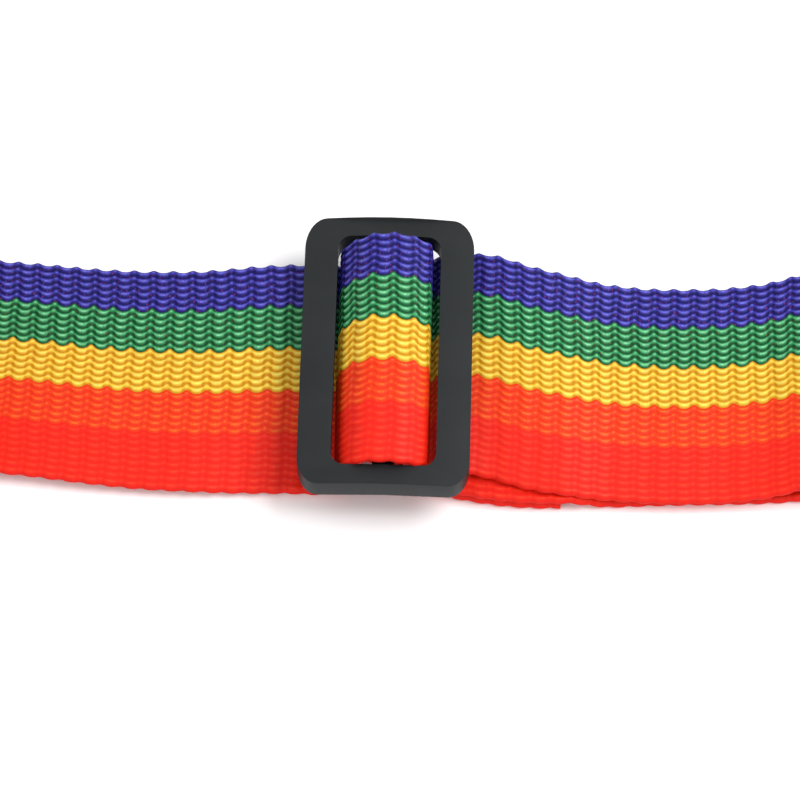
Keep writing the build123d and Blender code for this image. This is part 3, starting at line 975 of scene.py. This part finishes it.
class STRAP_OT_slider(bpy.types.Operator):
    """Moulded slider frame with its centre bar"""

    bl_idname = "strap.slider"
    bl_label = "Slider"

    def execute(self, context):
        low, high = (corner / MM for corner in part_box("slider_frame"))
        size = high - low
        size.y *= SLIDER_SHARE
        slot_length, slot_width = size.x - 2 * SIDE_BAR, size.y - 2 * END_BAR
        outer = rounded_outline(size.x, size.y, CORNER, END_CROWN)
        inner = rounded_outline(slot_length, slot_width, SLOT_CORNER, SLOT_CROWN)
        rim = ring_moulding(outer, inner, low.z - LIP, high.z, EDGE_ROUNDING)
        for vert in rim.verts:
            vert.co.z += CAMBER * cos(pi * vert.co.x / size.x)
        bar_width, bar_thick = CENTRE_BAR
        bar = plain_box((bar_width, slot_width + 2 * BAR_ROOT, bar_thick))
        bmesh.ops.translate(bar, vec=(0, 0, (low.z + high.z) / 2), verts=bar.verts[:])
        long_edges = [e for e in bar.edges if abs(e.verts[0].co.y - e.verts[1].co.y) > 1]
        bmesh.ops.bevel(
            bar, geom=long_edges, offset=CENTRE_BAR_ROUNDING, offset_type="OFFSET", affect="EDGES",
            segments=5, profile=0.5, material=-1,
        )
        centre = Vector(((low.x + high.x) / 2, SLIDER_DRIFT, 0.0))
        plastic = hardware_material("slider_moulding", plastic_material, "slider_colour")
        where = plastic, "slider_plastic", "slider", ["slider_frame"]
        moulded("slider", [rim, bar], centre, radians(40), *where)
        return {"FINISHED"}


THREAD = 0.52
STITCH = 3.1
STITCH_SHARE = 0.98  # of its pitch that a stitch fills
SEAM_DEPTH = 5.6
SEAM_INSET = 2.2  # from the webbing's edges
SEAM_ZIGZAGS = 8
SUNK = 0.12  # how far the thread pulls into the webbing
SEAM_SWAYS = {"seam_slider_end": -3.0, "seam_socket_end": 0.0}


def run_of_stitches(bm, start, stop, count):
    """Stitches end to end between two places on top of the webbing."""
    start, stop = Vector(start), Vector(stop)
    way = (stop - start) / count
    turn = Matrix.Rotation(atan2(way.y, way.x), 3, "Z")
    for k in range(count):
        made = bmesh.ops.create_uvsphere(bm, u_segments=10, v_segments=8, radius=0.5)["verts"]
        bmesh.ops.rotate(bm, cent=(0, 0, 0), matrix=Matrix.Rotation(pi / 2, 3, "Y"), verts=made)
        bmesh.ops.scale(bm, vec=(way.length * STITCH_SHARE, THREAD, THREAD), verts=made)
        bmesh.ops.rotate(bm, cent=(0, 0, 0), matrix=turn, verts=made)
        bmesh.ops.translate(bm, vec=start + way * (k + 0.5), verts=made)


def sewn_box(node, sway):
    """Box stitching with a zigzag inside it, across the whole webbing."""
    bm = bmesh.new()
    middle_x, top = middle(node).x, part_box(node)[0].z / MM - SUNK
    half = WEB_WIDTH / 2 - SEAM_INSET
    left, right = middle_x - SEAM_DEPTH / 2, middle_x + SEAM_DEPTH / 2
    for x in (left, right):
        run_of_stitches(bm, (x, sway - half, top), (x, sway + half, top), int(2 * half / STITCH))
    for y in (sway - half, sway + half):
        run_of_stitches(bm, (left, y, top), (right, y, top), 2)
    for k in range(SEAM_ZIGZAGS):
        near, far = (sway - half + 2 * half * (k + share) / SEAM_ZIGZAGS for share in (0, 1))
        ends = (left, right) if k % 2 == 0 else (right, left)
        run_of_stitches(bm, (ends[0], near, top), (ends[1], far, top), 3)
    thread = hardware_material("red_thread", thread_material, "thread_colour")
    body = frame["nodes"][node]["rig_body"]
    moulded(node + "_thread", [bm], (0, 0, 0), pi, thread, "thread", body, [node])


class STRAP_OT_seams(bpy.types.Operator):
    """Thread of the two sewn ends"""

    bl_idname = "strap.seams"
    bl_label = "Seams"

    def execute(self, context):
        for node, sway in SEAM_SWAYS.items():
            sewn_box(node, sway)
        return {"FINISHED"}


def ridge(centre, size, rounding, turn=0.0):
    """A low moulded ridge with rounded edges."""
    bm = plain_box(size)
    bmesh.ops.bevel(
        bm, geom=bm.edges[:], offset=rounding, offset_type="OFFSET", affect="EDGES", segments=3,
        profile=0.5, material=-1,
    )
    bmesh.ops.rotate(bm, cent=(0, 0, 0), matrix=Matrix.Rotation(turn, 3, "Z"), verts=bm.verts[:])
    bmesh.ops.translate(bm, vec=centre, verts=bm.verts[:])
    return bm


# Grips across the plug's body, each with its place back from the prongs' root and half its length.
GRIPS = ((-0.8, 17), (2.0, 19), (4.8, 21))
GRIP_WIDTH, GRIP_HEIGHT, GRIP_ROUNDING = 1.5, 1.4, 0.6
GRIP_ABOVE, GRIP_BELOW = -0.15, 0.55  # middles, from the body's top and from the surface
# Ribs on each prong's head, from the tip back along its slanting side.
RIBS, RIB_START, RIB_PITCH = 4, 14.6, 2.1
RIB_SINK, RIB_SLOPE, RIB_TURN = 0.25, 0.55, 0.35
RIB_WIDTH, RIB_DEPTH, RIB_SHORT, RIB_ROUNDING = 0.9, 1.3, 1.6, 0.4
# Raised outline on the socket's top, and ridges by its mouth with each one's place from the closed end.
PANEL, PANEL_CORNERS, PANEL_PLACE = (30, 50), (5, 3.8), 20.5
PANEL_LINE = 1.3  # width of the outline
PANEL_SINK, PANEL_RISE, PANEL_ROUNDING = 0.7, 0.55, 0.5
MOUTH_RIDGES = (24.5, 28.0, 31.5)
MOUTH_LENGTH, MOUTH_WIDTH, MOUTH_HEIGHT, MOUTH_SINK, MOUTH_ROUNDING = 44.0, 1.2, 1.1, 0.1, 0.5


class STRAP_OT_buckle(bpy.types.Operator):
    """Both halves of the side-release buckle"""

    bl_idname = "strap.buckle"
    bl_label = "Buckle"

    def execute(self, context):
        plastic = hardware_material("buckle_moulding", plastic_material, "buckle_colour")
        low, high = (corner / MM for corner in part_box("socket_shell"))
        prong_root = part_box("prong_far")[0].x / MM
        grips = [
            ridge((prong_root - back, 0, level), (GRIP_WIDTH, 2 * half, GRIP_HEIGHT), GRIP_ROUNDING)
            for back, half in GRIPS
            for level in (high.z + GRIP_ABOVE, GRIP_BELOW)
        ]
        smooth_copy("plug_frame", plastic, grips)
        for node in ("prong_far", "prong_near"):
            smooth_copy(node, plastic, self.ribs(node))
        inside = (side - 2 * PANEL_LINE for side in PANEL)
        outlines = [
            rounded_outline(length, width, corner, 0.0)
            for (length, width), corner in zip((PANEL, inside), PANEL_CORNERS)
        ]
        panel = ring_moulding(*outlines, high.z - PANEL_SINK, high.z + PANEL_RISE, PANEL_ROUNDING)
        bmesh.ops.translate(panel, vec=(low.x + PANEL_PLACE, 0, 0), verts=panel.verts[:])
        mouth = [
            ridge(
                (low.x + back, 0, high.z - MOUTH_SINK),
                (MOUTH_WIDTH, MOUTH_LENGTH - 2 * k, MOUTH_HEIGHT), MOUTH_ROUNDING,
            )
            for k, back in enumerate(MOUTH_RIDGES)
        ]
        smooth_copy("socket_shell", plastic, [panel, *mouth])
        return {"FINISHED"}

    @staticmethod
    def ribs(node):
        low, high = (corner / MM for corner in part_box(node))
        way = 1 if middle(node).y > 0 else -1
        outer = high.y if way > 0 else low.y
        size = (RIB_WIDTH, RIB_DEPTH, high.z - low.z - RIB_SHORT)
        made = []
        for k in range(RIBS):
            side = outer - way * (RIB_SINK + RIB_SLOPE * k)
            place = (high.x - RIB_START + RIB_PITCH * k, side, (low.z + high.z) / 2)
            made.append(ridge(place, size, RIB_ROUNDING, turn=-way * RIB_TURN))
        return made


# ---------------------------------------------------------------- stage

# Metres and watts.
SKY = 0.92
KEY = ((0.85, 0.05, 1.15), 0.8, 15.0)
FILL = ((-0.3, -1.0, 1.2), 1.2, 3.0)
FLOOR_HALF = 4.0
FLOOR_COLOUR, FLOOR_ROUGHNESS = (0.93, 0.92, 0.925, 1.0), 0.9
FOCAL_LENGTH, SENSOR_WIDTH = 200.0, 36.0  # in millimetres
AIM = Vector((SLIDER_X + 3.0, -10.4, SLIDER_Z)) * MM


def area_light(name, target, place, side, power):
    lamp = bpy.data.lights.new(name, "AREA")
    lamp.shape = "RECTANGLE"
    lamp.size = lamp.size_y = side
    lamp.energy = power
    thing = bpy.data.objects.new(name, lamp)
    thing.location = place
    thing.rotation_euler = (Vector(target) - Vector(place)).to_track_quat("-Z", "Y").to_euler()
    bpy.context.scene.collection.objects.link(thing)


class STRAP_OT_stage(bpy.types.Operator):
    """Pale floor, soft studio lights and the camera"""

    bl_idname = "strap.stage"
    bl_label = "Stage"

    def execute(self, context):
        settings = context.scene.strap_stage
        bm = bmesh.new()
        bmesh.ops.create_grid(bm, x_segments=2, y_segments=2, size=FLOOR_HALF)
        mesh = bpy.data.meshes.new("floor")
        bm.to_mesh(mesh)
        bm.free()
        floor = bpy.data.objects.new("floor", mesh)
        context.scene.collection.objects.link(floor)
        pale = Graph("pale_floor")
        pale.shader.inputs["Base Color"].default_value = FLOOR_COLOUR
        pale.shader.inputs["Roughness"].default_value = FLOOR_ROUGHNESS
        pale.shader.inputs["Specular IOR Level"].default_value = 0.0
        mesh.materials.append(pale.material)

        world = context.scene.world or bpy.data.worlds.new("studio")
        context.scene.world = world
        world.use_nodes = True
        sky = world.node_tree.nodes["Background"]
        sky.inputs["Color"].default_value = (1.0, 1.0, 1.0, 1.0)
        sky.inputs["Strength"].default_value = SKY

        target = (SLIDER_X * MM, 0.0, 0.0)
        area_light("key", target, *KEY)
        area_light("fill", target, *FILL)

        level = cos(settings.elevation)
        round_x, round_y = sin(settings.azimuth) * level, -cos(settings.azimuth) * level
        back = Vector((round_x, round_y, sin(settings.elevation)))
        lens = bpy.data.cameras.new("camera")
        lens.lens = FOCAL_LENGTH
        lens.sensor_width = SENSOR_WIDTH
        lens.clip_start = 0.01
        camera = bpy.data.objects.new("camera", lens)
        camera.location = AIM + back * settings.distance
        camera.rotation_euler = back.to_track_quat("Z", "Y").to_euler()
        context.scene.collection.objects.link(camera)
        context.scene.camera = camera
        context.scene.view_settings.view_transform = "Standard"
        return {"FINISHED"}


class STRAP_PT_panel(bpy.types.Panel):
    """Every piece of the strap"""

    bl_idname = "STRAP_PT_panel"
    bl_label = "Luggage strap"
    bl_space_type = "VIEW_3D"
    bl_region_type = "UI"
    bl_category = "Strap"

    def draw(self, context):
        for name in GROUPS:
            group = getattr(context.scene, name)
            section = self.layout.box()
            for key in group.bl_rna.properties.keys():
                if key not in ("rna_type", "name"):
                    section.prop(group, key)
        for operator in OPERATORS:
            self.layout.operator(operator.bl_idname)


OPERATORS = (
    STRAP_OT_flat_webbing,
    STRAP_OT_rolled_webbing,
    STRAP_OT_socket_webbing,
    STRAP_OT_slider,
    STRAP_OT_seams,
    STRAP_OT_buckle,
    STRAP_OT_stage,
)
GROUPS = {
    "strap_webbing": STRAP_PG_webbing,
    "strap_hardware": STRAP_PG_hardware,
    "strap_stage": STRAP_PG_stage,
}


def register():
    for cls in (*GROUPS.values(), *OPERATORS, STRAP_PT_panel):
        bpy.utils.register_class(cls)
    for name, group in GROUPS.items():
        setattr(bpy.types.Scene, name, PointerProperty(type=group))


def unregister():
    for name in GROUPS:
        delattr(bpy.types.Scene, name)
    for cls in reversed((*GROUPS.values(), *OPERATORS, STRAP_PT_panel)):
        bpy.utils.unregister_class(cls)


def main():
    register()
    for operator in OPERATORS:
        group, name = operator.bl_idname.split(".")
        getattr(getattr(bpy.ops, group), name)()


if __name__ == "__main__":
    main()
